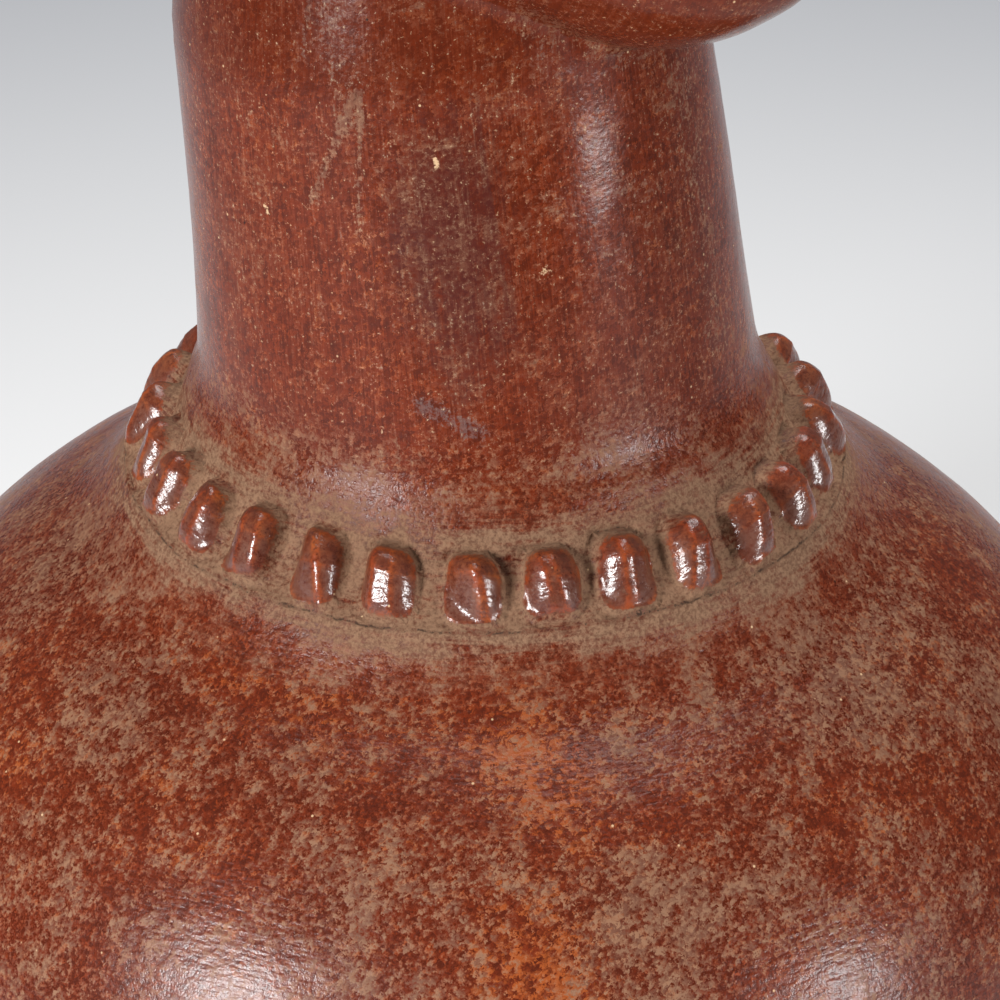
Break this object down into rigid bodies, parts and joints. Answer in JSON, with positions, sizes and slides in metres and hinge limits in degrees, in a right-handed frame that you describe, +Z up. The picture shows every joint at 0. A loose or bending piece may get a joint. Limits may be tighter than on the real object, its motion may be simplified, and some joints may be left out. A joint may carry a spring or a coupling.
{
  "type": "figural storage vessel",
  "caption": "Hollow fired-clay storage vessel: round jar, raised bead necklace, tall leaning neck and a head whose crown is the open mouth.",
  "frame": {"origin": "middle of the flat resting spot under the jar, at floor level", "axes": "+Z up along the jar's own axis, -Y the way the face looks, +X the figure's left"},
  "size_m": [0.316, 0.316, 0.5446],
  "materials": {
    "burnished_clay": "burnished red-brown fired clay, semi-gloss on high places, dusty in the grooves"
  },
  "bodies": {
    "root": {"vessel": "burnished_clay"}
  },
  "joints": []
}
